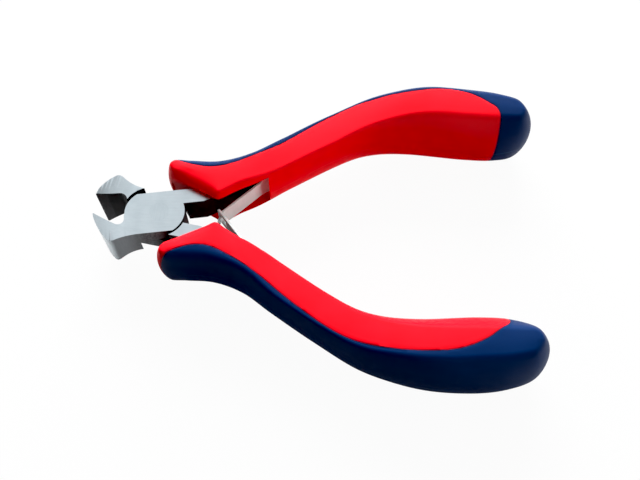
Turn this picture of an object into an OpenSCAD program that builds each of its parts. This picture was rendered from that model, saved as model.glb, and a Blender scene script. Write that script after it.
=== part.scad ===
// End cutting nippers: lap joint on a flush rivet, two interlocked leaf springs, two-colour moulded grips
// Z is the pivot axis, the jaws point along -X and the grips along +X

/* [Pose] */
// angle between the two halves as drawn, degrees
open_angle = 19.2; // [4:0.2:22]

/* [Head] */
// thickness of the joint and of the tangs
head_thick = 9; // [7.5:0.1:10.5]
// half of the joint's width across its straight sides
joint_half = 5.7; // [5.2:0.1:6.3]
// distance from the pivot to the cutting edges
jaw_reach = 16.1; // [15.3:0.1:17.5]
// length of the cutting edges along the pivot axis
jaw_width = 15.6; // [13:0.1:17]
// radius of the gently rounded front of each jaw
front_r = 14.4; // [13:0.1:17]
// radius of the heel where the front meets the chin
heel_r = 1.3; // [0.8:0.05:1.7]
// radius of the hollow chin from the heel to the joint
chin_r = 12.7; // [11.5:0.1:14]
// where the chin and the flare begin, measured from the pivot
flare_start = 5.5; // [5:0.1:6.2]
// radius at the bottom of the mouth
mouth_r = 1.6; // [1:0.05:1.9]
// radius of the rounded corners at the ends of the cutting edges
edge_corner_r = 1.1; // [0.4:0.1:1.8]

/* [Joint] */
// radius of the lap plate on the jaw side
lap_r = 6.5; // [6.2:0.05:6.8]
// how far the centre of that radius lies from the pivot
lap_shift = 2.2; // [1.8:0.1:2.4]
// radius of the lap plate on the handle side
lap_tail_r = 6.5; // [6.1:0.05:6.8]
// play between a lap plate and the shoulder it turns in
lap_play = 0.12; // [0.08:0.01:0.2]
// gap seen beside the handle-side shoulder
tail_gap = 0.5; // [0.2:0.05:0.8]
// radius of the rivet's shank
rivet_r = 2.15; // [1.6:0.05:2.6]
// radius of the rivet's countersunk ends
rivet_head_r = 2.5; // [2.1:0.05:3]
// radial play of the turning half on the rivet
rivet_play = 0.04; // [0.02:0.01:0.08]

/* [Tang] */
// distance of the tang's inner side from the centre line beside the joint
tang_in = 1.7; // [1.3:0.1:2.2]
// where the tang bends outward, measured from the pivot
tang_bend_x = 11.5; // [10.5:0.1:12.5]
// angle of the tang inside the grip, degrees
tang_angle = 19; // [17:0.5:20]
// depth of the tang inside the grip
tang_depth = 3.6; // [3.2:0.1:3.8]
// where the tang ends inside the grip
tang_end_x = 44; // [38:0.5:50]

/* [Grip] */
// thickness of the grip at its front
front_thick = 17; // [16:0.1:18]
// thickness of the grip at its waist
waist_thick = 13.6; // [13.2:0.1:14.8]
// thickness of the grip at its belly
belly_thick = 21.8; // [19.5:0.1:22.4]
// how far forward the nose of the grip reaches
grip_front_x = 2.3; // [1.5:0.1:3.5]
// distance of the grip's knee from the pivot
knee_x = 16; // [15.4:0.1:16.6]
// distance of the knee from the centre line when shut
knee_y = 0.25; // [0.15:0.05:0.8]
// distance from the pivot to the butt of the grip
grip_end_x = 101.4; // [96:0.2:108]
// height of the belly's inner side above the centre line when shut
belly_y = 10.3; // [9:0.1:11.5]
// width of the grip at its belly
belly_width = 19.3; // [18:0.1:20.2]
// width of the grip at its waist
waist_width = 11.2; // [10.6:0.1:12]
// how far the inner side of the belly slants back to the flat face
belly_slant = 5.4; // [4.6:0.1:5.8]
// how far the sides slant back along the waist
waist_slant = 2; // [1.4:0.1:2.3]
// run of a side from its crest to the face: 1 is straight, 2 is round
side_curve = 2; // [1.6:0.1:2.4]
// width of the eased edge round each face
edge_ease = 0.6; // [0.3:0.1:0.8]

/* [Spring] */
// thickness of each leaf
leaf_t = 0.5; // [0.3:0.05:0.7]
// width of each leaf along the pivot axis
leaf_width = 6.4; // [5:0.1:7]
// width of the ears at the leaf's root
leaf_ear = 7.4; // [7:0.1:8]
// length of the ears along the leaf
ear_run = 0.8; // [0.6:0.1:1.6]
// width of the channel that the tang and the leaf lie in
channel_width = 12.4; // [11.6:0.1:13.2]
// how far the channel undercuts the lip in front of the knee
lip_cut = 1.9; // [1.2:0.1:2.4]
// where the channel ends, measured from the pivot
channel_end_x = 28.6; // [27:0.1:30]
// distance of the leaf's bend from the end of the channel
leaf_back = 1.2; // [0.8:0.1:2]
// length of the leaf's foot held behind the end of the channel
foot_len = 3; // [2:0.1:4]
// width of the hooked tongue
tongue_w = 2.2; // [1.6:0.1:2.8]
// play of the tongue in its slot
tongue_play = 0.35; // [0.2:0.05:0.6]

/* [Hidden] */
$fn = 64;
turn = open_angle / 2;
half_t = head_thick / 2;
// x where the front starts to thin, where the waist starts and ends, and where the belly is full
guard_x = knee_x + 6;
waist_from = knee_x + 19;
waist_to = knee_x + 31;
belly_from = knee_x + 60;
// centre of the lap shoulder half way through the stroke, and its radius
swing = 2 * lap_shift * sin(open_angle / 4);
shoulder_r = lap_r + swing + lap_play;
shoulder_c = lap_shift * [-cos(turn), sin(turn)];
// arcs of the jaw seen along the pivot: front, hollow chin, and the heel that touches both
function circles_meet(a, ra, b, rb) =
    let (d = norm(b - a), e = (b - a) / d, x = (d * d + ra * ra - rb * rb) / (2 * d))
    a + e * x + [e[1], -e[0]] * sqrt(ra * ra - x * x);
front_c = [-jaw_reach + sqrt(pow(front_r, 2) - 4), 2];
chin_c = [-flare_start, -joint_half - chin_r];
heel_c = circles_meet(front_c, front_r - heel_r, chin_c, chin_r + heel_r);
front_touch = front_c + (heel_c - front_c) * front_r / (front_r - heel_r);
chin_touch = chin_c + (heel_c - chin_c) * chin_r / (chin_r + heel_r);
// hollow flare seen from the side
flare_run = jaw_reach - flare_start;
flare_rise = jaw_width / 2 - half_t;
flare_r = (flare_run * flare_run + flare_rise * flare_rise) / (2 * flare_rise);
// mouth circle touching the lap plate's front, and the bevel tangent to it
mouth_c = [-lap_shift - lap_r - 0.12 - mouth_r, -1.1];
mouth_v = mouth_c - [-jaw_reach, 0];
mouth_a = atan2(mouth_v[1], mouth_v[0]) - asin(mouth_r / norm(mouth_v));
// inner line of the tang
tang_dir = [cos(tang_angle), sin(tang_angle)];
tang_nrm = [-sin(tang_angle), cos(tang_angle)];
function tang_at(x) = [x, tang_in + (x - tang_bend_x) * tan(tang_angle)];
tang_tip = tang_at(tang_end_x);
tang_out_x = tang_bend_x + (joint_half - tang_in - tang_depth / cos(tang_angle)) / tan(tang_angle);
// leaf: foot on the tang, bend, straight blade
leaf_bend = tang_at(channel_end_x - leaf_back) - tang_nrm * leaf_t / 2;
leaf_foot = leaf_bend + tang_dir * (leaf_back + foot_len) / cos(tang_angle);
meet = [15.9, -1.3];
blade_dir = (meet - leaf_bend) / norm(meet - leaf_bend);
long_tip = [14.1, -4.7];
long_dir = (long_tip - leaf_bend) / norm(long_tip - leaf_bend);
long_len = norm(long_tip - leaf_bend);

// points of an arc after its first one, and the direction of a line
function arc(c, r, a0, a1, n) = [for (i = [1:n]) let (a = a0 + (a1 - a0) * i / n) c + r * [cos(a), sin(a)]];
function heading(v) = atan2(v[1], v[0]);
// smooth curve through control points, closed or open
function blend4(a, b, c, d, t) = 0.5 * (2 * b + (c - a) * t + (2 * a - 5 * b + 4 * c - d) * t * t
    + (3 * b - a - 3 * c + d) * t * t * t);
function loop_curve(p, n) = [for (i = [0:len(p) - 1]) for (k = [0:n - 1])
    blend4(p[(i + len(p) - 1) % len(p)], p[i], p[(i + 1) % len(p)], p[(i + 2) % len(p)], k / n)];
function open_curve(p, n) = [for (i = [0:len(p) - 2]) for (k = [0:(i == len(p) - 2 ? n : n - 1)])
    blend4(p[max(i - 1, 0)], p[i], p[i + 1], p[min(i + 2, len(p) - 1)], k / n)];
// smooth step from 0 to 1 between two places
function smooth(a, b, x) =
    let (t = min(max((x - a) / (b - a), 0), 1))
    t * t * (3 - 2 * t);
// half the thickness of the grip at a place along it
function grip_half(x) = front_thick / 2
    + (waist_thick - front_thick) / 2 * smooth(guard_x, waist_from, x)
    + (belly_thick - waist_thick) / 2 * smooth(waist_to, belly_from, x);
function along(f) = knee_x + f * (grip_end_x - knee_x);
// unit normal pointing into a loop that runs counter-clockwise
function inward(p, i) =
    let (n = len(p), d = p[(i + 1) % n] - p[(i + n - 1) % n], v = [-d[1], d[0]])
    v / norm(v);

// a body skinned over rings of equally many points, with its end faces given as lists of point numbers
module skin(rings, ends) {
    n = len(rings[0]);
    m = len(rings);
    sides = [for (j = [0:m - 2]) for (i = [0:n - 1]) for (k = [0, 1])
        let (a = j * n + i, b = j * n + (i + 1) % n) k == 0 ? [a, a + n, b + n] : [a, b + n, b]];
    far_ends = [for (f = ends) [for (i = [len(f) - 1:-1:0]) f[i] + (m - 1) * n]];
    polyhedron([for (r = rings) each r], concat(sides, ends, far_ends));
}
// triangles between two rows of point numbers that both run along X
function zip(p, lo, hi, i = 0, j = 0) =
    i == len(lo) - 1 && j == len(hi) - 1 ? [] :
    j == len(hi) - 1 || (i < len(lo) - 1 && p[lo[i + 1]][0] < p[hi[j + 1]][0])
        ? concat([[lo[i], lo[i + 1], hi[j]]], zip(p, lo, hi, i + 1, j))
        : concat([[lo[i], hi[j + 1], hi[j]]], zip(p, lo, hi, i, j + 1));

// grip outline when shut: x, y and how far the side slants back at each control point
grip_rise = belly_y - knee_y;
belly_top = belly_y + belly_width;
grip_pts = [
    [knee_x - 0.6, knee_y - 0.05, 0.62 * waist_slant],
    [knee_x + 0.8, knee_y + 0.2, 0.7 * waist_slant],
    [knee_x + 2.6, knee_y + 0.8, 0.85 * waist_slant],
    [along(0.066), knee_y + 0.18 * grip_rise, waist_slant],
    [along(0.16), knee_y + 0.44 * grip_rise, waist_slant],
    [along(0.36), knee_y + 1.18 * grip_rise, 0.8 * waist_slant],
    [along(0.485), belly_y + 4.55, 0.47 * belly_slant],
    [along(0.62), belly_y + 3.5, 0.8 * belly_slant],
    [along(0.78), belly_y, belly_slant],
    [along(0.88), belly_y - 1.2, 0.95 * belly_slant],
    [along(0.96), belly_y + 0.2, 0.66 * belly_slant],
    [grip_end_x, belly_y + 4.95, 0.66 * belly_slant],
    [along(0.978), belly_y + 11.05, 0.72 * belly_slant],
    [along(0.91), belly_top - 4.3, 0.86 * belly_slant],
    [along(0.82), belly_top - 1.6, 0.96 * belly_slant],
    [along(0.7), belly_top, 0.8 * belly_slant],
    [along(0.585), belly_top - 0.15, 0.64 * belly_slant],
    [along(0.47), belly_top - 1.75, 0.47 * belly_slant],
    [along(0.34), knee_y + 1.205 * grip_rise + waist_width, 0.9 * waist_slant],
    [along(0.2), knee_y + 0.688 * grip_rise + waist_width, 0.9 * waist_slant],
    [along(0.1), knee_y + 0.271 * grip_rise + waist_width, 0.9 * waist_slant],
    [along(0.01), knee_y + 0.147 * grip_rise + waist_width, waist_slant],
    [grip_front_x + 7.5, knee_y + 13.6, waist_slant],
    [grip_front_x + 3, knee_y + 13.9, 0.75 * waist_slant],
    [grip_front_x + 0.5, knee_y + 12.1, 0.68 * waist_slant],
    [grip_front_x + 0.7, knee_y + 9.2, 0.75 * waist_slant],
    [grip_front_x + 3.2, knee_y + 6.2, waist_slant],
    [knee_x - 5.5, knee_y + 2.45, waist_slant],
    [knee_x - 3.4, knee_y + 1.15, 0.85 * waist_slant],
    [knee_x - 1.9, knee_y + 0.25, 0.7 * waist_slant]
];
grip_ring = loop_curve(grip_pts, 4);
grip_flat = [for (p = grip_ring) [p[0], p[1]]];

// point numbers from the nose to the butt along the inner and the outer side
grip_n = len(grip_ring);
grip_nose = grip_n - 22;
grip_butt = 44;
grip_lo = [for (i = [0:grip_n - grip_nose + grip_butt]) (grip_nose + i) % grip_n];
grip_hi = [for (i = [grip_nose - 1:-1:grip_butt + 1]) i];

module grip_body() {
    levels = [-1, -0.92, -0.7, -0.45, -0.2, 0, 0.2, 0.45, 0.7, 0.92, 1];
    rings = [for (u = levels) [for (i = [0:grip_n - 1])
        let (slant = grip_ring[i][2] * pow(abs(u), side_curve) + (abs(u) == 1 ? edge_ease : 0),
            q = grip_flat[i] + inward(grip_flat, i) * slant)
        [q[0], q[1], grip_half(grip_flat[i][0]) * u]]];
    skin(rings, zip(rings[0], grip_lo, grip_hi));
}

// line between the two colours on the near face and on the far face
cover_near = [
    [grip_front_x - 6, 17.5], [grip_front_x + 1.6, 14.2], [grip_front_x + 4.4, 12.2], [knee_x - 5.3, 10.5],
    [knee_x - 0.5, 9.5], [along(0.07), 10.5], [along(0.16), 13.5], [along(0.26), 17.7],
    [along(0.36), 21.9], [along(0.45), 24.6], [along(0.54), 25.5], [along(0.64), 25.1],
    [along(0.73), 24.6], [along(0.8), 22.4], [along(0.85), 19], [along(0.877), 15.5], [along(0.876), 4],
    [grip_end_x + 1, 0], [grip_end_x + 14, 0]
];
cover_far = [
    [grip_front_x - 6, 17.5], [grip_front_x + 1.6, 14.4], [grip_front_x + 4.4, 11.5], [knee_x - 5.3, 8.9],
    [knee_x - 0.5, 8], [along(0.07), 9.7], [along(0.16), 12.8], [along(0.26), 17.3],
    [along(0.36), 21.3], [along(0.45), 23.8], [along(0.54), 24.6], [along(0.64), 24.1],
    [along(0.73), 22.2], [along(0.8), 18.6], [along(0.845), 14.4], [along(0.868), 11], [along(0.872), 4],
    [grip_end_x + 1, 0], [grip_end_x + 14, 0]
];
// everything beyond that line, swept along it and drawn out from a point well inside the bend
cover_from = [40, -60];
module cover_space() {
    near = open_curve(cover_near, 4);
    far = open_curve(cover_far, 4);
    z = belly_thick / 2 + 1;
    skin([for (i = [0:len(near) - 1])
        let (a = far[i], b = near[i], c = 1.6 * b - 0.6 * cover_from, d = 1.6 * a - 0.6 * cover_from)
        [[a[0], a[1], -z], [d[0], d[1], -z], [c[0], c[1], z], [b[0], b[1], z]]], [[0, 1, 2, 3]]);
}

module band(x0, x1) {
    translate([x0, -joint_half]) square([x1 - x0, 2 * joint_half]);
}
// lap plate seen along the pivot
module lap_plan() {
    intersection() {
        union() {
            translate([-lap_shift, 0]) circle(lap_r);
            circle(lap_tail_r);
        }
        band(-20, 20);
    }
}
// jaw seen along the pivot: tip, front, heel, chin, then back through the mouth
module jaw_plan() {
    polygon(concat([[-jaw_reach, 0]],
        arc(front_c, front_r, heading([-jaw_reach, 0] - front_c), heading(front_touch - front_c), 8),
        arc(heel_c, heel_r, heading(front_touch - heel_c), heading(chin_touch - heel_c), 8),
        arc(chin_c, chin_r, heading(chin_touch - chin_c), 90, 10),
        [[0, -joint_half], [0, 0], [mouth_c[0] + mouth_r, 0], [mouth_c[0] + mouth_r, mouth_c[1]]],
        arc(mouth_c, mouth_r, 0, mouth_a - 90, 10)));
}
// jaw seen along Y: straight at the joint, flared to the cutting edge
module jaw_side() {
    front = -jaw_reach - 0.15;
    corner_x = front + edge_corner_r;
    corner_z = jaw_width / 2 - edge_corner_r;
    difference() {
        union() {
            translate([corner_x, -jaw_width / 2]) square([20 - corner_x, jaw_width]);
            translate([front, -corner_z]) square([20 - front, 2 * corner_z]);
            for (s = [-1, 1])
                translate([corner_x, s * corner_z]) circle(edge_corner_r);
        }
        for (s = [-1, 1]) {
            translate([-flare_start, s * (half_t + flare_r)]) circle(flare_r);
            translate([-flare_start, s > 0 ? half_t : -half_t - 20]) square([30, 20]);
        }
    }
}
module tang_plan() {
    polygon([[0, tang_in], [tang_bend_x, tang_in], tang_tip, tang_tip + tang_nrm * tang_depth,
        [tang_out_x, joint_half], [0, joint_half]]);
    translate(tang_tip + tang_nrm * tang_depth / 2) circle(tang_depth / 2);
}
module slab(z0, z1) {
    translate([0, 0, z0]) linear_extrude(z1 - z0) children();
}

// one steel half when shut, with its lap plate on the near side
module steel_half(play) {
    difference() {
        union() {
            intersection() {
                rotate([90, 0, 0]) slab(-20, 20) jaw_side();
                union() {
                    slab(0, 20) jaw_plan();
                    slab(0, 20) lap_plan();
                    slab(-20, 0) difference() {
                        jaw_plan();
                        translate(shoulder_c) circle(shoulder_r);
                    }
                }
            }
            slab(0, half_t) tang_plan();
            slab(-half_t, 0) difference() {
                tang_plan();
                circle(lap_tail_r + tail_gap);
            }
        }
        slab(-20, 20) circle(rivet_r + play);
        translate([0, 0, half_t - (rivet_head_r - rivet_r)])
            cylinder(rivet_head_r - rivet_r + 0.01, rivet_r + play, rivet_head_r + play + 0.01);
    }
}
module rivet_body() {
    rim = rivet_head_r - rivet_r;
    rotate_extrude() polygon([[0, -half_t], [rivet_head_r, -half_t], [rivet_r, -half_t + rim],
        [rivet_r, half_t - rim], [rivet_head_r, half_t], [0, half_t]]);
}

// a strip along one straight run, seen along the pivot
module strip(a, b) {
    d = (b - a) / norm(b - a);
    n = [-d[1], d[0]] * leaf_t / 2;
    polygon([a - n, b - n, b + n, a + n]);
}
module leaf_root() {
    slab(-leaf_ear / 2, leaf_ear / 2) strip(leaf_foot, leaf_bend);
    slab(-leaf_ear / 2, leaf_ear / 2) translate(leaf_bend) circle(leaf_t / 2);
}
module leaf_short() {
    leaf_root();
    slab(-leaf_ear / 2, leaf_ear / 2) strip(leaf_bend, leaf_bend + blade_dir * ear_run);
    slab(-leaf_width / 2, leaf_width / 2) strip(leaf_bend, meet);
    slab(-tongue_w / 2, tongue_w / 2) {
        strip(meet - blade_dir * 0.5, meet + blade_dir * 1.3);
        translate(meet + blade_dir * 1.3) circle(leaf_t / 2);
        strip(meet + blade_dir * 1.3, meet + blade_dir * 1.3 + [-0.35, -1.3]);
    }
}
module leaf_long() {
    slot = tongue_w / 2 + tongue_play;
    difference() {
        union() {
            leaf_root();
            slab(-leaf_ear / 2, leaf_ear / 2) strip(leaf_bend, leaf_bend + long_dir * ear_run);
            slab(-leaf_width / 2, leaf_width / 2) strip(leaf_bend, long_tip);
        }
        translate(leaf_bend + long_dir * (long_len - 3.6)) rotate([0, 0, heading(long_dir)])
            translate([0, -2, -slot]) cube([2.6, 4, 2 * slot]);
    }
}
// channel seen along the pivot: open towards the other half, behind the lip as far as the tang
module channel_plan() {
    polygon([[grip_front_x + 1.1, -6], [channel_end_x, -6], tang_at(channel_end_x) + [0, 1],
        [tang_bend_x + 2.5, tang_in + lip_cut], [knee_x - 6.5, knee_y + 3.4 + lip_cut],
        [grip_front_x + 1.1, knee_y + 7 + lip_cut]]);
}
module grip_core() {
    difference() {
        grip_body();
        cover_space();
        slab(-half_t, half_t) tang_plan();
        slab(-channel_width / 2, channel_width / 2) channel_plan();
        leaf_root();
    }
}
module grip_cover() {
    intersection() {
        grip_body();
        cover_space();
    }
}

// the two halves opened about the pivot, with the lower end of the rivet at height zero
module upper() translate([0, 0, half_t]) rotate(turn) children();
module lower() translate([0, 0, half_t]) rotate([180, 0, 0]) rotate(turn) children();

module half_upper() color([0.74, 0.78, 0.8]) upper() steel_half(0);
module half_lower() color([0.7, 0.74, 0.76]) lower() steel_half(rivet_play);
module rivet() color([0.6, 0.62, 0.64]) upper() rivet_body();
module leaf_upper() color([0.82, 0.8, 0.77]) upper() leaf_short();
module leaf_lower() color([0.78, 0.76, 0.73]) lower() leaf_long();
module core_upper() color([0.9, 0.08, 0.12]) upper() grip_core();
module core_lower() color([0.85, 0.07, 0.11]) lower() grip_core();
module cover_upper() color([0.06, 0.18, 0.4]) upper() grip_cover();
module cover_lower() color([0.05, 0.15, 0.35]) lower() grip_cover();

half_upper();
half_lower();
rivet();
leaf_upper();
leaf_lower();
core_upper();
core_lower();
cover_upper();
cover_lower();
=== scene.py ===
import math
import bmesh
import bpy
import numpy as np
from mathutils import Matrix, Vector


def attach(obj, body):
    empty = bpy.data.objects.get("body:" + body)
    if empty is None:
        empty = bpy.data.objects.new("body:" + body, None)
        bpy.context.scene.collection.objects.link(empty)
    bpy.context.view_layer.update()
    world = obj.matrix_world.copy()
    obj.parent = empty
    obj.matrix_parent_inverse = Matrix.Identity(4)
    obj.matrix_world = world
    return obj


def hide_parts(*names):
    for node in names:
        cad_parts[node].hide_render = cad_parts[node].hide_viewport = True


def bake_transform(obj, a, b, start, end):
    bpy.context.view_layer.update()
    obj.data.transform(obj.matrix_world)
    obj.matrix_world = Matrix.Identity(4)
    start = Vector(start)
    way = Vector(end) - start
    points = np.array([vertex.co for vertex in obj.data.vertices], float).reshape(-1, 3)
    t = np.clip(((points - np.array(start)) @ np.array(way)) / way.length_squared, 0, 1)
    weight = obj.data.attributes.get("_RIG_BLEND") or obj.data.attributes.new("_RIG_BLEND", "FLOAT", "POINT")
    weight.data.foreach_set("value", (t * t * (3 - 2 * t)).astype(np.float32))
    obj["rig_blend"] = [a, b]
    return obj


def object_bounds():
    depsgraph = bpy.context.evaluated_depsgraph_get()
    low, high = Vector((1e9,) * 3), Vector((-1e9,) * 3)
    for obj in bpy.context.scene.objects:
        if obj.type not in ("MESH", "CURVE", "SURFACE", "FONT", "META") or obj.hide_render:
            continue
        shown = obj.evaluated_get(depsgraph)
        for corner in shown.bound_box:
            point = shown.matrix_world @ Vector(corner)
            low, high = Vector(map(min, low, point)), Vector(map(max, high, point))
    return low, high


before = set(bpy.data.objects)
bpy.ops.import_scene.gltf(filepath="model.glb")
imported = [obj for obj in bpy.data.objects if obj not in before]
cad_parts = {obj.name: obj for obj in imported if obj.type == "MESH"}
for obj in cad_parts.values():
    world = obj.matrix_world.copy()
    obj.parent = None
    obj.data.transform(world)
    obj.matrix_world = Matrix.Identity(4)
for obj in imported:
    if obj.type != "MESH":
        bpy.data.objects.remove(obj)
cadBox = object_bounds()
print("frame loaded:", sorted(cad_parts))

scene = bpy.context.scene
mm = 0.001

# both halves are the same part when shut: one turned open, the other flipped over as well
toolSet = {"openAngle": 19.2, "lift": 4.5}
halfTurn = math.radians(toolSet["openAngle"] / 2)
turnOpen = Matrix.Rotation(halfTurn, 4, "Z")
liftUp = Matrix.Translation((0, 0, toolSet["lift"] * mm))
places = {
    "upper": liftUp @ turnOpen,
    "lower": liftUp @ Matrix.Rotation(math.pi, 4, "X") @ turnOpen,
}


def addObject(name, data):
    made = bpy.data.objects.new(name, data)
    scene.collection.objects.link(made)
    return made


def meshFrom(bm, name):
    data = bpy.data.meshes.new(name)
    bm.to_mesh(data)
    bm.free()
    return data


# camera where the photo was taken from, in degrees and millimetres
cameraSet = {
    "azimuth": 0.38989, "elevation": 64.6402, "roll": -2.11081, "place": (41.8212, -93.3691, 193.2329),
    "focalPixels": 812.4277, "imageWidth": 640, "sensorWidth": 36, "clip": (0.005, 50),
}


def placeCamera(s):
    a, e, r = (math.radians(s[k]) for k in ("azimuth", "elevation", "roll"))
    ahead = Vector((-math.sin(a) * math.cos(e), math.cos(a) * math.cos(e), -math.sin(e)))
    right = Vector((math.cos(a), math.sin(a), 0))
    down = ahead.cross(right)
    x = right * math.cos(r) + down * math.sin(r)
    y = right * math.sin(r) - down * math.cos(r)
    data = bpy.data.cameras.new("photoView")
    data.sensor_fit, data.sensor_width = "HORIZONTAL", s["sensorWidth"]
    data.lens = s["focalPixels"] * s["sensorWidth"] / s["imageWidth"]
    data.clip_start, data.clip_end = s["clip"]
    stand = Matrix((x, y, -ahead)).transposed().to_4x4()
    stand.translation = Vector(s["place"]) * mm
    scene.camera = addObject("photoView", data)
    scene.camera.matrix_world = stand


placeCamera(cameraSet)


# a socket that can be used in sums, and one way to make any node
class Wire:
    def __init__(self, tree, socket=None):
        self.tree, self.socket = tree, socket

    def node(self, kind, settings=None, links=None, out=0):
        made = self.tree.nodes.new("ShaderNode" + kind)
        for key, value in (settings or {}).items():
            setattr(made, key, value)
        for key, value in (links or {}).items():
            if isinstance(value, Wire):
                self.tree.links.new(value.socket, made.inputs[key])
            else:
                made.inputs[key].default_value = value
        return Wire(self.tree, made.outputs[out] if len(made.outputs) else None)

    def output(self, out):
        return Wire(self.tree, self.socket.node.outputs[out])

    def maths(self, how, a, b=0.0):
        return self.node("Math", {"operation": how}, {0: a, 1: b})

    def __add__(self, o):
        return self.maths("ADD", self, o)

    def __radd__(self, o):
        return self.maths("ADD", o, self)

    def __sub__(self, o):
        return self.maths("SUBTRACT", self, o)

    def __rsub__(self, o):
        return self.maths("SUBTRACT", o, self)

    def __mul__(self, o):
        return self.maths("MULTIPLY", self, o)

    def __rmul__(self, o):
        return self.maths("MULTIPLY", o, self)

    def __abs__(self):
        return self.maths("ABSOLUTE", self)

    def step(self, low, high):
        limits = {"Value": self, "From Min": low, "From Max": high}
        return self.node("MapRange", {"interpolation_type": "SMOOTHSTEP"}, limits)

    def mixed(self, a, b):
        a, b = (v if isinstance(v, Wire) else (*v, 1) for v in (a, b))
        return self.node("Mix", {"data_type": "RGBA"}, {0: self, 6: a, 7: b}, out=2)

    def noise(self, at, scale, detail, rough=0.5):
        return self.node("TexNoise", None, {"Vector": at, "Scale": scale, "Detail": detail, "Roughness": rough})

    def bump(self, height, s):
        return self.node("Bump", None, {"Strength": s["bump"], "Distance": s["bumpDepth"], "Height": height})


def newMaterial(name):
    material = bpy.data.materials.new(name)
    material.use_nodes = True
    material.node_tree.nodes.clear()
    return material, Wire(material.node_tree)


def finishMaterial(w, constants, varied):
    w.node("OutputMaterial", None, {"Surface": w.node("BsdfPrincipled", None, {**constants, **varied})})


def inMillimetres(w, stretch=(1, 1, 1)):
    at = w.node("TexCoord", out="Object")
    return w.node("VectorMath", {"operation": "MULTIPLY"}, {0: at, 1: tuple(k / mm for k in stretch)})


# studio: pale floor, a wide soft glow from above and behind,
# boxes that light matt surfaces or only shine in glossy ones
studioSet = {
    "floorTone": 0.6, "floorLift": 0.955, "floorMirror": 0.55, "floorBounce": 0.04,
    "floorSize": 6.0, "floorAt": (0.04, 0.0), "floorGap": 0.0002,
    "skyFront": 0.06, "skyBack": 1.08, "skyWay": (0.75, 0.66), "skyRise": (0.45, 0.92), "skyTint": 0.02,
    "backdrop": 0.97, "blackPoint": 0.012, "aim": (0.035, 0.0, 0.0),
    "boxes": {  # place, size, power, what they light
        "backBox": ((-0.05, 0.62, 0.28), 0.55, 16.5, "matt"),
        "rightBox": ((0.6, -0.1, 0.16), 0.45, 2.15, "matt"),
        "sheenBox": ((0.21, -0.62, 0.22), 0.25, 0.3, "gloss"),
        "frontCard": ((0.05, -0.75, 0.52), 0.9, 1.3, "gloss"),
        "underBox": ((0.04, 0.0, -0.35), 0.3, 0.8, "matt"),
        "leftBox": ((-0.6, 0.0, 0.03), 0.35, 0.8, "matt"),
    },
}


def buildFloor(s):
    bm = bmesh.new()
    bmesh.ops.create_grid(bm, x_segments=1, y_segments=1, size=s["floorSize"] / 2)
    floor = addObject("studioFloor", meshFrom(bm, "studioFloor"))
    floor.location = (*s["floorAt"], cadBox[0][2] - s["floorGap"])
    material, w = newMaterial("paleFloor")
    ray = w.node("LightPath")
    paint = lambda tone: w.node("BsdfDiffuse", None, {"Color": (tone, tone, tone, 1)})
    mix = lambda share, a, b: w.node("MixShader", None, {0: share, 1: a, 2: b})
    shown = mix(s["floorLift"], paint(s["floorTone"]), w.node("Emission"))
    bounced = mix(ray.output("Is Glossy Ray"), paint(s["floorBounce"]), paint(s["floorMirror"]))
    surface = mix(ray.output("Is Camera Ray"), bounced, shown)
    through = w.node("BsdfTransparent")  # open from below, for the eye and for the lamp
    surface = mix(w.node("NewGeometry", out="Backfacing"), surface, through)
    surface = mix(ray.output("Is Shadow Ray"), surface, through)
    w.node("OutputMaterial", None, {"Surface": surface})
    floor.data.materials.append(material)


def buildSky(s):
    world = bpy.data.worlds.new("studioGlow")
    scene.world = world
    world.use_nodes = True
    world.node_tree.nodes.clear()
    w = Wire(world.node_tree)
    way = w.node("SeparateXYZ", None, {0: w.node("TexCoord", out="Generated")})
    rise = way.output("Y") * s["skyWay"][0] + way.output("Z") * s["skyWay"][1]
    tone = rise.step(*s["skyRise"]) * (s["skyBack"] - s["skyFront"]) + s["skyFront"]
    tinted = w.node("CombineColor", None, {0: tone * (1 - s["skyTint"]), 1: tone, 2: tone * (1 + s["skyTint"])})
    glow = w.node("Background", None, {"Color": tinted})
    plain = w.node("Background", None, {"Color": (s["backdrop"],) * 3 + (1,)})
    seen = w.node("LightPath", out="Is Camera Ray")
    w.node("OutputWorld", None, {"Surface": w.node("MixShader", None, {0: seen, 1: glow, 2: plain})})


def buildBoxes(s):
    for name, (place, size, power, lights) in s["boxes"].items():
        light = bpy.data.lights.new(name, "AREA")
        light.shape, light.size, light.energy = "SQUARE", size, power
        lamp = addObject(name, light)
        lamp.location = place
        lamp.rotation_euler = (Vector(s["aim"]) - Vector(place)).to_track_quat("-Z", "Y").to_euler()
        lamp.visible_camera = False
        lamp.visible_glossy, lamp.visible_diffuse = lights == "gloss", lights == "matt"


def setTones(s):
    view = scene.view_settings
    view.view_transform, view.use_curve_mapping = "Standard", True
    view.curve_mapping.black_level = (s["blackPoint"],) * 3
    view.curve_mapping.update()


for build in (buildFloor, buildSky, buildBoxes, setTones):
    build(studioSet)
print("camera and studio ready")


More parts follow.
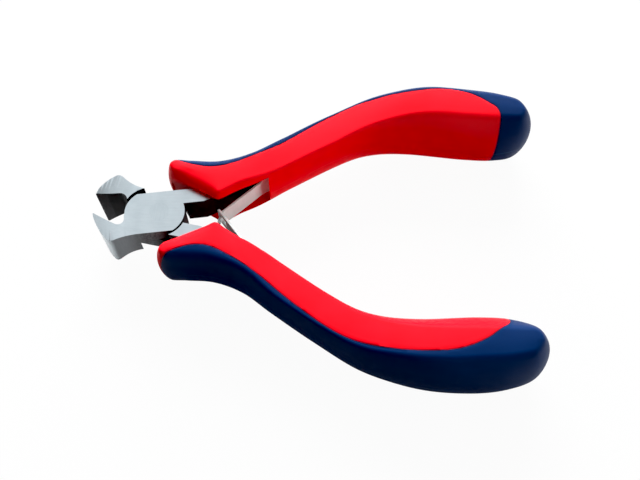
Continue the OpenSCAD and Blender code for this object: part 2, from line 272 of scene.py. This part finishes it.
# steel ground along one direction: plates, rivet and leaves
steelSet = {
    "light": (0.66, 0.735, 0.77), "dark": (0.56, 0.63, 0.665), "stain": (0.42, 0.44, 0.45),
    "metal": 1.0, "rough": 0.28, "bump": 0.12, "bumpDepth": 0.00002, "toneRange": (0.3, 0.7),
    "along": (0.05, 1, 1), "lineScale": 3.0, "lineShare": 0.35, "lineRough": 0.1,
    "cloudScale": 0.22, "cloudRough": 0.06,
    "spotScale": 2.6, "spotRange": (0.62, 0.75), "spotShare": 0.35, "spotRough": 0.1,
}
rivetSet = {
    **steelSet, "light": (0.64, 0.715, 0.75), "dark": (0.55, 0.62, 0.655), "stain": (0.4, 0.42, 0.43),
    "bump": 0.14, "along": (1, 0.06, 1),
}
springSet = {
    **steelSet, "light": (0.82, 0.905, 0.89), "dark": (0.72, 0.795, 0.78), "stain": (0.5, 0.49, 0.46),
    "metal": 0.12, "rough": 0.3, "bump": 0.2, "along": (1, 1, 0.05), "lineScale": 4.0,
}


def groundSteel(name, s):
    material, w = newMaterial(name)
    at = inMillimetres(w)
    lines = w.noise(inMillimetres(w, s["along"]), s["lineScale"], detail=4, rough=0.6)
    cloud = w.noise(at, s["cloudScale"], detail=3)
    spots = w.noise(at, s["spotScale"], detail=5, rough=0.7).step(*s["spotRange"])
    tone = (lines * s["lineShare"] + cloud * (1 - s["lineShare"])).step(*s["toneRange"])
    colour = (spots * s["spotShare"]).mixed(tone.mixed(s["dark"], s["light"]), s["stain"])
    rough = s["rough"] + lines * s["lineRough"] + cloud * s["cloudRough"] + spots * s["spotRough"]
    varied = {"Base Color": colour, "Roughness": rough, "Normal": w.bump(lines, s)}
    finishMaterial(w, {"Metallic": s["metal"]}, varied)
    return material


def alongHalf(w, side):
    at = w.node("SeparateXYZ", None, {0: w.node("TexCoord", out="Object")})
    return (at.output("X") * math.cos(halfTurn) + at.output("Y") * (side * math.sin(halfTurn))) * (1 / mm)


# outer walls of the forgings, by the distance from the pivot in millimetres: ground near the jaw, with a painted
# highlight strip at the tip, painted shade mottled like forge scale towards the joint, and painted black shadow past
# it, under the plate and between the halves
wallSet = {
    # the front colour is a painted highlight at the jaw tip, the deep and scale colours are painted shade towards
    # the joint, mottled like forge scale, and the black is painted shadow past the pivot
    "light": (0.66, 0.72, 0.75), "dark": (0.52, 0.575, 0.6), "front": (0.85, 0.9, 0.92),
    "scale": (0.36, 0.38, 0.39), "deep": (0.17, 0.18, 0.185), "paintedShadowColour": (0.035, 0.035, 0.037),
    "paintedShadeRange": (-9.5, -2.5), "paintedShadowRange": (-1.5, 3.0), "highlightAt": -14.6, "highlightSoft": 0.4,
    "mottleScale": 1.3, "mottleRun": 2.0, "mottleRange": (0.35, 0.65), "mottleRough": 0.1,
    "along": (1, 1, 0.15), "lineScale": 2.2, "lineBump": 0.4,
    "rough": 0.3, "scaleRough": 0.1, "bump": 0.3, "bumpDepth": 0.00004,
}


def forgedSteelPaintedShade(name, s, side):
    material, w = newMaterial(name)
    reach = alongHalf(w, side)
    mottle = w.noise(inMillimetres(w), s["mottleScale"], detail=5, rough=0.7)
    lines = w.noise(inMillimetres(w, s["along"]), s["lineScale"], detail=3)
    # painted shade towards the joint, mottled like forge scale
    shadeAndScale = (reach + mottle * s["mottleRun"]).step(*s["paintedShadeRange"])
    # painted highlight: a lighter strip on the walls at the jaw tip
    front = (s["highlightAt"] - reach).step(-s["highlightSoft"], s["highlightSoft"])
    ground = front.mixed(lines.mixed(s["dark"], s["light"]), s["front"])
    colour = shadeAndScale.mixed(ground, mottle.step(*s["mottleRange"]).mixed(s["deep"], s["scale"]))
    # painted black shadow past the pivot, under the plate and between the halves
    colour = (reach + mottle).step(*s["paintedShadowRange"]).mixed(colour, s["paintedShadowColour"])
    rough = s["rough"] + shadeAndScale * s["scaleRough"] + mottle * s["mottleRough"]
    bump = w.bump(mottle * shadeAndScale + lines * s["lineBump"], s)
    finishMaterial(w, {"Metallic": 1.0}, {"Base Color": colour, "Roughness": rough, "Normal": bump})
    return material


# blacked inner walls, with a strip ground along the cutting edge
blackSet = {
    "dark": (0.006, 0.006, 0.007), "light": (0.016, 0.016, 0.018), "scaleSize": 3.2, "scaleRough": 0.16,
    "edgeDark": (0.03, 0.03, 0.032), "edgeLight": (0.065, 0.065, 0.068), "edgeAt": -13.9, "edgeSoft": 0.08,
    "edgeMetal": 0.85, "edgeRough": 0.1, "along": (1, 1, 12), "lineScale": 1.1,
    "rough": 0.42, "gloss": 0.35, "bump": 0.25, "bumpDepth": 0.00003,
}


def blackedSteel(name, s, side):
    material, w = newMaterial(name)
    ground = (s["edgeAt"] - alongHalf(w, side)).step(-s["edgeSoft"], s["edgeSoft"])
    scale = w.noise(inMillimetres(w), s["scaleSize"], detail=5, rough=0.65)
    lines = w.noise(inMillimetres(w, s["along"]), s["lineScale"], detail=3)
    colour = ground.mixed(scale.mixed(s["dark"], s["light"]), lines.mixed(s["edgeDark"], s["edgeLight"]))
    rough = s["rough"] + scale * s["scaleRough"] - ground * s["edgeRough"]
    metal = ground * s["edgeMetal"]
    varied = {"Base Color": colour, "Roughness": rough, "Metallic": metal, "Normal": w.bump(scale, s)}
    finishMaterial(w, {"Specular IOR Level": s["gloss"]}, varied)
    return material


# both shots of the grips share the moulding, and differ in colour and gloss
mouldSet = {
    "rough": 0.4, "bump": 0.12, "bumpDepth": 0.00006, "cloudScale": 0.09, "toneRange": (0.32, 0.68),
    "grainScale": 5.0, "grainBump": 0.5, "grainRough": 0.1,
    "flowAlong": (0.12, 0.5, 0.5), "flowScale": 0.9, "flowShare": 0.3, "flowBump": 0.25, "flowRough": 0.06,
    "dustScale": 1.7, "dustRange": (0.66, 0.82), "dustShare": 0.25, "dustRough": 0.08,
    "lineRange": (0.05, 0.2), "lineFlow": (0.35, 0.6), "lineShare": 0.7, "lineBump": 0.9,
    "seamRange": (0.1, 0.4), "seamShare": 0.6,
}
# in both colour sets the seam colour is painted shade along the groove where the two shots meet
redSet = {
    **mouldSet, "deep": (0.87, 0.004, 0.013), "light": (0.94, 0.006, 0.017), "dusty": (0.9, 0.02, 0.03),
    "line": (0.92, 0.05, 0.05), "seam": (0.16, 0.004, 0.012), "gloss": 0.25,
}
blueSet = {
    **mouldSet, "deep": (0.002, 0.017, 0.075), "light": (0.003, 0.021, 0.088), "dusty": (0.012, 0.035, 0.1),
    "line": (0.03, 0.09, 0.2), "seam": (0.003, 0.006, 0.022), "gloss": 0.22,
}


def mouldedGrip(name, s):
    material, w = newMaterial(name)
    at = inMillimetres(w)
    z = w.node("SeparateXYZ", None, {0: at}, out="Z")
    cloud = w.noise(at, s["cloudScale"], detail=3)
    grain = w.noise(at, s["grainScale"], detail=3, rough=0.55)
    flow = w.noise(inMillimetres(w, s["flowAlong"]), s["flowScale"], detail=3)
    dust = w.noise(at, s["dustScale"], detail=6, rough=0.72).step(*s["dustRange"])
    parting = 1 - abs(z - toolSet["lift"]).step(*s["lineRange"])  # mould line round the middle
    tone = (cloud * (1 - s["flowShare"]) + flow * s["flowShare"]).step(*s["toneRange"])
    colour = (dust * s["dustShare"]).mixed(tone.mixed(s["deep"], s["light"]), s["dusty"])
    colour = (parting * flow.step(*s["lineFlow"]) * s["lineShare"]).mixed(colour, s["line"])
    beside = abs(w.node("Attribute", {"attribute_name": "seamReach"}, out="Fac"))
    seamShade = s["seamShare"] - beside.step(*s["seamRange"]) * s["seamShare"]  # painted shade in the groove where the two shots meet
    colour = seamShade.mixed(colour, s["seam"])
    rough = s["rough"] + grain * s["grainRough"] + flow * s["flowRough"] + dust * s["dustRough"]
    bump = w.bump(grain * s["grainBump"] + flow * s["flowBump"] + parting * s["lineBump"], s)
    varied = {"Base Color": colour, "Roughness": rough, "Normal": bump}
    finishMaterial(w, {"Specular IOR Level": s["gloss"]}, varied)
    return material


polished = groundSteel("polishedSteel", steelSet)
forgedPaintedShade = {
    "upper": forgedSteelPaintedShade("forgedSteelPaintedShadeUpper", wallSet, 1),
    "lower": forgedSteelPaintedShade("forgedSteelPaintedShadeLower", wallSet, -1),
}
rivetSteel = groundSteel("rivetSteel", rivetSet)
springSteel = groundSteel("springSteel", springSet)
blacked = {
    "upper": blackedSteel("blackedSteelUpper", blackSet, 1),
    "lower": blackedSteel("blackedSteelLower", blackSet, -1),
}
redGrip = mouldedGrip("redGrip", redSet)
blueGrip = mouldedGrip("blueGrip", blueSet)
print("materials ready")


def settle(piece):
    deps = bpy.context.evaluated_depsgraph_get()
    data = bpy.data.meshes.new_from_object(piece.evaluated_get(deps))
    piece.modifiers.clear()
    old, piece.data = piece.data, data
    data.name = piece.name
    bpy.data.meshes.remove(old)


def easeEdges(piece, width, steps, degrees):
    ease = piece.modifiers.new("ease", "BEVEL")
    ease.width, ease.segments = width, steps
    ease.limit_method, ease.angle_limit = "ANGLE", math.radians(degrees)
    return ease


def shadeBy(piece, degrees):
    data = piece.data
    data.polygons.foreach_set("use_smooth", [True] * len(data.polygons))
    data.set_sharp_from_angle(angle=math.radians(degrees))
    data.update()


# steel halves: the frame's solids with eased edges, ground outside and black inside
halfSet = {
    "ease": 0.09, "easeSteps": 2, "sharp": 28, "smooth": 32, "weight": 70, "weld": 2e-6, "flatWithin": 0.4,
    "faceFrom": 0.6, "leanFrom": 0.15, "sideFrom": 0.05, "outerFace": 3.5,
    "jawFront": -14.5, "frontFrom": -0.3, "forgedShadedWallsTo": 6,
}


def isOutside(n, c, s):
    if abs(n.z) > s["faceFrom"]:
        return abs(c.z) > s["outerFace"]
    if abs(n.z) > s["leanFrom"]:
        return True
    if c.x < s["jawFront"] and n.x < s["frontFrom"] and n.y < s["sideFrom"]:
        return True
    return n.y < -s["sideFrom"] if c.x < 0 else n.y > s["sideFrom"]


def dressHalf(half, s):
    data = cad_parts["half_" + half].data.copy()
    data.name = "steel_" + half
    data.materials.clear()
    for finish in (polished, blacked[half], forgedPaintedShade[half]):
        data.materials.append(finish)
    bm = bmesh.new()
    bm.from_mesh(data)
    bmesh.ops.remove_doubles(bm, verts=bm.verts, dist=s["weld"])
    bmesh.ops.dissolve_limit(bm, angle_limit=math.radians(s["flatWithin"]), verts=bm.verts, edges=bm.edges)
    back = places[half].inverted()
    spin = back.to_3x3()
    for f in bm.faces:
        f.normal_update()
        n, c = spin @ f.normal, (back @ f.calc_center_median()) / mm
        # outer walls up to this x take the steel with painted shade, painted highlight and painted shadow
        wall = abs(n.z) < s["faceFrom"] and c.x < s["forgedShadedWallsTo"]
        f.material_index = (2 if wall else 0) if isOutside(n, c, s) else 1
    bm.to_mesh(data)
    bm.free()
    if data.attributes.get("custom_normal"):
        data.attributes.remove(data.attributes["custom_normal"])
    piece = addObject("steel_" + half, data)
    ease = easeEdges(piece, s["ease"] * mm, s["easeSteps"], s["sharp"])
    ease.use_clamp_overlap, ease.miter_outer = True, "MITER_ARC"
    settle(piece)
    shadeBy(piece, s["smooth"])
    weigh = piece.modifiers.new("weigh", "WEIGHTED_NORMAL")
    weigh.keep_sharp, weigh.weight = True, s["weight"]
    settle(piece)
    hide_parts("half_" + half)
    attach(piece, half)


for half in places:
    dressHalf(half, halfSet)
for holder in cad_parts["rivet"].material_slots:
    holder.material = rivetSteel
print("steel halves and rivet ready")


# grips: slanted sides with eased edges round a smooth outline,
# cut by the channel and split along the line between the colours
gripSet = {
    "frontThick": 17.0, "waistThick": 13.6, "bellyThick": 21.8,
    "thinFrom": 22.0, "waistFrom": 35.0, "waistTo": 47.0, "bellyFrom": 76.0,
    "front": 2.3, "kneeX": 16.0, "kneeY": 0.25, "end": 101.4, "bellyY": 10.3,
    "bellyWidth": 19.3, "waistWidth": 11.2, "bellySlant": 5.4, "waistSlant": 2.0,
    "outlineSteps": 40, "noseAt": 24.5, "buttAt": 11,  # nose and butt by number of the outline's point
    "stations": 230, "weld": 0.01, "smooth": 42,
    "sideSteps": 22, "edgeSteps": 6, "edgeFrom": 0.9, "edgeRun": 0.65,
    "capSteps": 10, "crown": 0.12, "crownRun": 4,
    # where along the grip its edges are eased more, from x to x
    "noseEase": 0.19, "tipShare": 0.12, "noseRise": (2.6, 7), "innerNoseEnds": (9, 20), "outerNoseEnds": (12, 36),
    "cheekEase": 0.33, "cheekRise": (2.8, 6.5), "cheekEnds": (11, 18), "buttEase": 0.03, "buttRise": (84, 95),
    "channelWidth": 12.4,
    "channelPlan": ((3.4, -6), (28.6, -6), (28.6, 8.59), (14, 3.6), (9.5, 5.55), (3.4, 9.15)),
    "lineSteps": 10, "seamSnap": 0.06, "seamDip": 0.1, "seamDepth": 0.5,
    "noseWrap": 0.6, "wrapHeight": 8, "wrapTo": 12, "wrapFade": 6,
}


def smoothThrough(points, steps, closed):
    p = np.array(points, float)
    n = len(p)
    out = []
    for i in range(n if closed else n - 1):
        a, b, c, d = (p[(i + k) % n] if closed else p[min(max(i + k, 0), n - 1)] for k in (-1, 0, 1, 2))
        for t in np.arange(steps) / steps:
            bend = (2 * a - 5 * b + 4 * c - d) * t * t + (3 * b - a - 3 * c + d) * t ** 3
            out.append(0.5 * (2 * b + (c - a) * t + bend))
    if not closed:
        out.append(p[-1])
    return np.array(out)


def gripOutline(s):
    x0, y0, x1, by, ww = s["kneeX"], s["kneeY"], s["end"], s["bellyY"], s["waistWidth"]
    bs, ws, fx = s["bellySlant"], s["waistSlant"], s["front"]
    at = lambda f: x0 + f * (x1 - x0)
    up, top = by - y0, by + s["bellyWidth"]
    return [  # x, y and the slant of the side there
        (x0 - 0.6, y0 - 0.05, 0.62 * ws), (x0 + 0.8, y0 + 0.2, 0.7 * ws), (x0 + 2.6, y0 + 0.8, 0.85 * ws),
        (at(0.066), y0 + 0.18 * up, ws), (at(0.16), y0 + 0.44 * up, ws), (at(0.36), y0 + 1.18 * up, 0.8 * ws),
        (at(0.485), by + 4.55, 0.47 * bs), (at(0.62), by + 3.5, 0.8 * bs), (at(0.78), by, bs),
        (at(0.88), by - 1.2, 0.95 * bs), (at(0.96), by + 0.2, 0.66 * bs), (x1, by + 4.95, 0.66 * bs),
        (at(0.978), by + 11.05, 0.72 * bs), (at(0.91), top - 4.3, 0.86 * bs), (at(0.82), top - 1.6, 0.96 * bs),
        (at(0.7), top, 0.8 * bs), (at(0.585), top - 0.15, 0.64 * bs), (at(0.47), top - 1.75, 0.47 * bs),
        (at(0.34), y0 + 1.205 * up + ww, 0.9 * ws), (at(0.2), y0 + 0.688 * up + ww, 0.9 * ws),
        (at(0.1), y0 + 0.271 * up + ww, 0.9 * ws), (at(0.01), y0 + 0.147 * up + ww, ws),
        (fx + 7.5, y0 + 13.6, ws), (fx + 3, y0 + 13.9, 0.75 * ws), (fx + 0.5, y0 + 12.1, 0.68 * ws),
        (fx + 0.7, y0 + 9.2, 0.75 * ws), (fx + 3.2, y0 + 6.2, ws), (x0 - 5.5, y0 + 2.45, ws),
        (x0 - 3.4, y0 + 1.15, 0.85 * ws), (x0 - 1.9, y0 + 0.25, 0.7 * ws),
    ]


def colourLines(s):
    x0, x1, fx = s["kneeX"], s["end"], s["front"]
    at = lambda f: x0 + f * (x1 - x0)
    near = [
        (fx - 6, 17.5), (fx + 1.6, 14.2), (fx + 4.4, 12.2), (x0 - 5.3, 10.5), (x0 - 0.5, 9.5),
        (at(0.07), 10.5), (at(0.16), 13.5), (at(0.26), 17.7), (at(0.36), 21.9), (at(0.45), 24.6),
        (at(0.54), 25.5), (at(0.64), 25.1), (at(0.73), 24.6), (at(0.8), 22.4), (at(0.85), 19),
        (at(0.877), 15.5), (at(0.876), 4), (x1 + 1, 0), (x1 + 14, 0),
    ]
    far = [
        (fx - 6, 17.5), (fx + 1.6, 14.4), (fx + 4.4, 11.5), (x0 - 5.3, 8.9), (x0 - 0.5, 8),
        (at(0.07), 9.7), (at(0.16), 12.8), (at(0.26), 17.3), (at(0.36), 21.3), (at(0.45), 23.8),
        (at(0.54), 24.6), (at(0.64), 24.1), (at(0.73), 22.2), (at(0.8), 18.6), (at(0.845), 14.4),
        (at(0.868), 11), (at(0.872), 4), (x1 + 1, 0), (x1 + 14, 0),
    ]
    return smoothThrough(near, s["lineSteps"], False), smoothThrough(far, s["lineSteps"], False)


def easeIn(x, a, b):
    t = min(max((x - a) / (b - a), 0), 1)
    return t * t * (3 - 2 * t)


def gripHalf(x, s):
    front, waist, belly = s["frontThick"] / 2, s["waistThick"] / 2, s["bellyThick"] / 2
    thinned = front + (waist - front) * easeIn(x, s["thinFrom"], s["waistFrom"])
    return thinned + (belly - waist) * easeIn(x, s["waistTo"], s["bellyFrom"])


def sideProfile(slant, x, inner, s):
    half = gripHalf(x, s)
    ends = easeIn(x, *(s["innerNoseEnds"] if inner else s["outerNoseEnds"]))
    soft = s["noseEase"] * (s["tipShare"] + (1 - s["tipShare"]) * easeIn(x, *s["noseRise"])) * (1 - ends)
    if inner:
        soft = max(soft, s["cheekEase"] * easeIn(x, *s["cheekRise"]) * (1 - easeIn(x, *s["cheekEnds"])))
    u1 = s["edgeFrom"] - soft - s["buttEase"] * easeIn(x, *s["buttRise"])
    wall = [(slant * u * u, half * u) for u in np.linspace(-u1, u1, s["sideSteps"] + 1)]
    start, corner = np.array(wall[-1]), np.array((slant * (2 * u1 - u1 * u1), half))
    end = corner + (s["edgeRun"] * np.linalg.norm(corner - start), 0)
    turns = np.linspace(0, 1, s["edgeSteps"] + 1)[1:]
    edge = [tuple((1 - t) ** 2 * start + 2 * t * (1 - t) * corner + t * t * end) for t in turns]
    return [(i, -z) for i, z in reversed(edge)] + wall + edge


def evenly(chain, count):
    run = np.concatenate([[0], np.cumsum(np.linalg.norm(np.diff(chain[:, :2], axis=0), axis=1))])
    want = np.linspace(0, run[-1], count + 1)
    return np.stack([np.interp(want, run, chain[:, k]) for k in range(chain.shape[1])], 1)


def acrossFace(p, q, s):
    made = []
    for i in range(1, s["capSteps"]):
        f = i / s["capSteps"]
        x, y, z = (a + (b - a) * f for a, b in zip(p, q))
        rise = s["crown"] * math.sin(math.pi * f) * min(1, math.dist(p, q) / s["crownRun"])
        made.append((x, y, z + math.copysign(rise, p[2])))
    return made


def gripShell(s):
    fine = smoothThrough(gripOutline(s), s["outlineSteps"], True)
    along = np.roll(fine[:, :2], -1, 0) - np.roll(fine[:, :2], 1, 0)
    inward = np.stack([-along[:, 1], along[:, 0]], 1)
    inward /= np.linalg.norm(inward, axis=1, keepdims=True)
    ring = np.hstack([fine, inward])
    nose, butt, n = int(s["noseAt"] * s["outlineSteps"]), s["buttAt"] * s["outlineSteps"], len(ring)
    innerSide = evenly(ring[[i % n for i in range(nose, n + butt + 1)]], s["stations"])
    outerSide = evenly(ring[list(range(nose, butt - 1, -1))], s["stations"])

    def stand(p, inner):
        return [(p[0] + p[3] * i, p[1] + p[4] * i, z) for i, z in sideProfile(p[2], p[0], inner, s)]

    rows = []
    for a, b in zip(innerSide, outerSide):
        up, down = stand(a, True), stand(b, False)[::-1]
        rows.append(up + acrossFace(up[-1], down[0], s) + down + acrossFace(down[-1], up[0], s))
    bm = bmesh.new()
    made = [[bm.verts.new(v) for v in row] for row in rows]
    for row, after in zip(made, made[1:]):
        for i in range(len(row)):
            j = (i + 1) % len(row)
            bm.faces.new((row[i], row[j], after[j], after[i]))
    bmesh.ops.remove_doubles(bm, verts=bm.verts, dist=s["weld"])
    bmesh.ops.recalc_face_normals(bm, faces=bm.faces)
    return addObject("gripShell", meshFrom(bm, "gripShell"))


def cutChannel(shell, s):
    plan, w = s["channelPlan"], s["channelWidth"] / 2
    n = len(plan)
    verts = [(x, y, z) for z in (-w, w) for x, y in plan]
    walls = [(i, (i + 1) % n, n + (i + 1) % n, n + i) for i in range(n)]
    data = bpy.data.meshes.new("channelCut")
    data.from_pydata(verts, [], [list(reversed(range(n))), list(range(n, 2 * n))] + walls)
    cutter = addObject("channelCut", data)
    cut = shell.modifiers.new("channel", "BOOLEAN")
    cut.operation, cut.solver, cut.object = "DIFFERENCE", "EXACT", cutter
    settle(shell)
    bpy.data.objects.remove(cutter)
    bpy.data.meshes.remove(data)


# distance to the line between the colours, which goes over from the far face's line to the near face's:
# above 0 on the cover, below 0 on the core
def besideLine(points, s):
    near, far = colourLines(s)
    reach = s["bellyThick"] / 2 + 1
    batch = 2000
    p = np.array(points)
    height = np.clip(np.abs(p[:, 2]) / s["wrapHeight"], 0, 1)
    fade = np.clip((s["wrapTo"] - p[:, 0]) / s["wrapFade"], 0, 1)
    p[:, 1] += s["noseWrap"] * (1 - height ** 2) * fade  # further round the nose at mid height
    out = np.empty(len(p))
    for lo in range(0, len(p), batch):
        q = p[lo:lo + batch]
        f = np.clip((q[:, 2] + reach) / (2 * reach), 0, 1)[:, None, None]
        line = far[None] * (1 - f) + near[None] * f
        a, d = line[:, :-1], np.diff(line, axis=1)
        r = q[:, None, :2] - a
        t = np.clip((r * d).sum(2) / (d * d).sum(2), 0, 1)
        dist = np.linalg.norm(r - d * t[:, :, None], axis=2)
        k = dist.argmin(1)
        i = np.arange(len(q))
        turn = d[i, k, 0] * r[i, k, 1] - d[i, k, 1] * r[i, k, 0]
        out[lo:lo + batch] = dist[i, k] * np.sign(turn)
    out[np.abs(out) < s["seamSnap"]] = 0
    return out


def closeBehind(part):
    edge = next(e for e in part.edges if e.is_boundary)
    loop = [edge.verts[0], edge.verts[1]]
    while loop[-1] is not loop[0]:
        edge = next(e for e in loop[-1].link_edges if e.is_boundary and e is not edge)
        loop.append(edge.other_vert(loop[-1]))
    loop.pop()
    nose = min(range(len(loop)), key=lambda i: loop[i].co.x)
    loop = loop[nose:] + loop[:nose]
    butt = max(range(len(loop)), key=lambda i: loop[i].co.x)
    near, far = loop[:butt + 1], [loop[0]] + loop[:butt - 1:-1]
    if np.mean([v.co.z for v in near]) < np.mean([v.co.z for v in far]):  # the same whichever way the rim was walked
        near, far = far, near
    i = j = 0
    while i + j < len(near) + len(far) - 2:  # triangles from the line on one face to the line on the other
        ahead = j == len(far) - 1 or (i < len(near) - 1 and (i + 1) * len(far) <= (j + 1) * len(near))
        corners = (near[i], near[i + 1], far[j]) if ahead else (near[i], far[j + 1], far[j])
        if len(set(corners)) == 3:
            part.faces.new(corners)
        i, j = (i + 1, j) if ahead else (i, j + 1)
    bmesh.ops.recalc_face_normals(part, faces=part.faces)


def markSeam(shell, s):
    bm = bmesh.new()
    bm.from_mesh(shell.data)
    bm.verts.ensure_lookup_table()
    mark = bm.verts.layers.float.new("seamReach")
    for v, d in zip(bm.verts, besideLine([v.co[:] for v in bm.verts], s)):
        v[mark] = d
    for e in [e for e in bm.edges if e.verts[0][mark] * e.verts[1][mark] < 0]:
        a, b = e.verts
        made = bmesh.utils.edge_split(e, a, a[mark] / (a[mark] - b[mark]))[1]
        made[mark] = 0
    for f in list(bm.faces):
        on = [v for v in f.verts if v[mark] == 0]
        if len(on) >= 2 and any(v[mark] > 0 for v in f.verts) and any(v[mark] < 0 for v in f.verts):
            pairs = [(a, b) for i, a in enumerate(on) for b in on[i + 1:] if not bm.edges.get((a, b))]
            if pairs:
                bmesh.utils.face_split(f, *pairs[0])
    return bm


def splitColours(shell, s):
    whole = markSeam(shell, s)
    parts = {}
    for name, sign in (("core", -1), ("cover", 1)):
        part = whole.copy()
        mark = part.verts.layers.float["seamReach"]
        wrong = [f for f in part.faces if sum(v[mark] for v in f.verts) * sign <= 0]
        bmesh.ops.delete(part, geom=wrong, context="FACES")
        part.normal_update()
        rim = [e for e in part.edges if e.is_boundary]
        for v in {v for e in rim for v in e.verts}:  # the edge dips to leave a fine seam
            v.co -= v.normal * s["seamDip"]
        skirt = bmesh.ops.extrude_edge_only(part, edges=rim)["geom"]
        for v in (g for g in skirt if isinstance(g, bmesh.types.BMVert)):
            v.co -= v.normal * s["seamDepth"]
        closeBehind(part)
        print(name, "open edges:", sum(not e.is_manifold for e in part.edges))
        parts[name] = meshFrom(part, name)
    whole.free()
    return parts


def buildGrips(s):
    shell = gripShell(s)
    cutChannel(shell, s)
    parts = splitColours(shell, s)
    bpy.data.objects.remove(shell)
    for half in places:
        for name, finish, slot in (("core", redGrip, "red_grip"), ("cover", blueGrip, "blue_grip")):
            data = parts[name].copy()
            data.name = name + "Grip_" + half
            data.transform(places[half] @ Matrix.Scale(mm, 4))
            data.materials.append(finish)
            piece = addObject(data.name, data)
            shadeBy(piece, s["smooth"])
            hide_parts(name + "_" + half)
            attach(piece, half)
    print("grips ready:", {k: len(v.polygons) for k, v in parts.items()})


buildGrips(gripSet)


# leaf springs: bent strips, the short one hooked into the slot of the long one
leafSet = {
    "thick": 0.5, "width": 6.4, "ear": 7.4, "earRun": 0.8, "earTaper": 0.5, "corner": 0.7, "cornerSteps": 8,
    "bend": (27.48, 6.94), "foot": (31.68, 8.385), "meet": (15.9, -1.3), "longTip": (14.1, -4.7),
    "tongue": 2.2, "tongueRun": 1.3, "tongueInto": 0.35, "hook": (-0.35, -1.3),
    "slotPlay": 0.35, "slotFrom": 3.6, "slotRun": 2.6, "bendRadius": 0.9, "bendSteps": 8,
    "rows": 90, "ease": 0.07, "easeSteps": 2, "sharp": 50, "smooth": 40,
}


def roundedPath(points, radius, steps):
    out = [np.array(points[0], float)]
    for a, b, c in zip(points, points[1:], points[2:]):
        a, b, c = (np.array(v, float) for v in (a, b, c))
        u, v = (a - b) / np.linalg.norm(a - b), (c - b) / np.linalg.norm(c - b)
        back = radius / math.tan(math.acos(np.clip(u @ v, -1, 1)) / 2)
        back = min(back, 0.45 * np.linalg.norm(c - b))  # less than half of the next run
        p, q = b + u * back, b + v * back
        for t in np.linspace(0, 1, steps + 1):
            out.append((1 - t) ** 2 * p + 2 * t * (1 - t) * b + t * t * q)
    out.append(np.array(points[-1], float))
    return np.array(out)


def runAlong(path):
    return np.concatenate([[0], np.cumsum(np.linalg.norm(np.diff(path, axis=0), axis=1))])


def leafPiece(half, path, stops, width, keep, columns, s):
    run = runAlong(path)
    stops = sorted(set(np.round(np.concatenate([np.linspace(0, run[-1], s["rows"]), run, stops]), 4)))
    rows = [(t, *(np.interp(t, run, path[:, k]) for k in (0, 1))) for t in stops if t <= run[-1] + 1e-6]
    bm = bmesh.new()
    grid = []
    for t, x, y in rows:
        side = width(t, run[-1])
        across = [c if abs(c) < columns[-1] else math.copysign(side, c) for c in columns]
        grid.append([bm.verts.new((x, y, z)) for z in across])
    for i in range(len(rows) - 1):
        mid = (rows[i][0] + rows[i + 1][0]) / 2
        for j in range(len(columns) - 1):
            if keep(mid, (columns[j] + columns[j + 1]) / 2, run[-1]):
                bm.faces.new([grid[i][j], grid[i + 1][j], grid[i + 1][j + 1], grid[i][j + 1]])
    bmesh.ops.delete(bm, geom=[v for v in bm.verts if not v.link_faces], context="VERTS")
    piece = addObject("leafSpring_" + half, meshFrom(bm, "leafSpring_" + half))
    piece.data.materials.append(springSteel)
    body = piece.modifiers.new("body", "SOLIDIFY")
    body.thickness, body.offset, body.use_even_offset = s["thick"], 0, True
    easeEdges(piece, s["ease"], s["easeSteps"], s["sharp"])
    settle(piece)
    piece.data.transform(places[half] @ Matrix.Scale(mm, 4))
    shadeBy(piece, s["smooth"])
    root = places[half] @ (Vector((*s["bend"], 0)) * mm)
    tip = places[half] @ (Vector((*s["meet"], 0)) * mm)
    other = {"upper": "lower", "lower": "upper"}[half]
    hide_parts("leaf_" + half)
    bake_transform(piece, half, other, start=root, end=root + 2 * (tip - root))


# half the width along a leaf: ears at the root, round corners at the end of the full width
def leafWidth(endRun, s):
    footRun = math.dist(s["foot"], s["bend"]) + s["earRun"]

    def width(t, whole):
        if t < footRun:
            return s["ear"] / 2
        w = s["width"] / 2 + (s["ear"] - s["width"]) / 2 * max(0, 1 - (t - footRun) / s["earTaper"])
        into = t - (whole - endRun - s["corner"])
        if into > 0:
            w -= s["corner"] - math.sqrt(max(s["corner"] ** 2 - min(into, s["corner"]) ** 2, 0))
        return w

    return width


def buildLeaves(s):
    meet, bend = np.array(s["meet"]), np.array(s["bend"])
    hookFrom = meet + (meet - bend) / np.linalg.norm(meet - bend) * s["tongueRun"]
    tongue, edge = s["tongue"] / 2, s["width"] / 2
    corner = np.linspace(0, s["corner"], s["cornerSteps"])

    hookTo = hookFrom + np.array(s["hook"])
    path = roundedPath([s["foot"], s["bend"], hookFrom, hookTo], s["bendRadius"], s["bendSteps"])
    tail = s["tongueRun"] + math.hypot(*s["hook"]) - s["tongueInto"]
    onTongue = lambda t, c, whole: t < whole - tail or abs(c) < tongue
    columns = [-edge, -tongue, -tongue / 2, 0, tongue / 2, tongue, edge]
    stops = runAlong(path)[-1] - tail - corner
    leafPiece("upper", path, stops, leafWidth(tail, s), onTongue, columns, s)

    path = roundedPath([s["foot"], s["bend"], s["longTip"]], s["bendRadius"], s["bendSteps"])
    whole = runAlong(path)[-1]
    slot0, slot1, side = whole - s["slotFrom"], whole - s["slotFrom"] + s["slotRun"], tongue + s["slotPlay"]
    offSlot = lambda t, c, whole: not (slot0 < t < slot1 and abs(c) < side)
    columns = [-edge, -side, -side / 2, 0, side / 2, side, edge]
    stops = np.concatenate([[slot0, slot1], whole - corner])
    leafPiece("lower", path, stops, leafWidth(0, s), offSlot, columns, s)


buildLeaves(leafSet)
print("leaf springs ready")
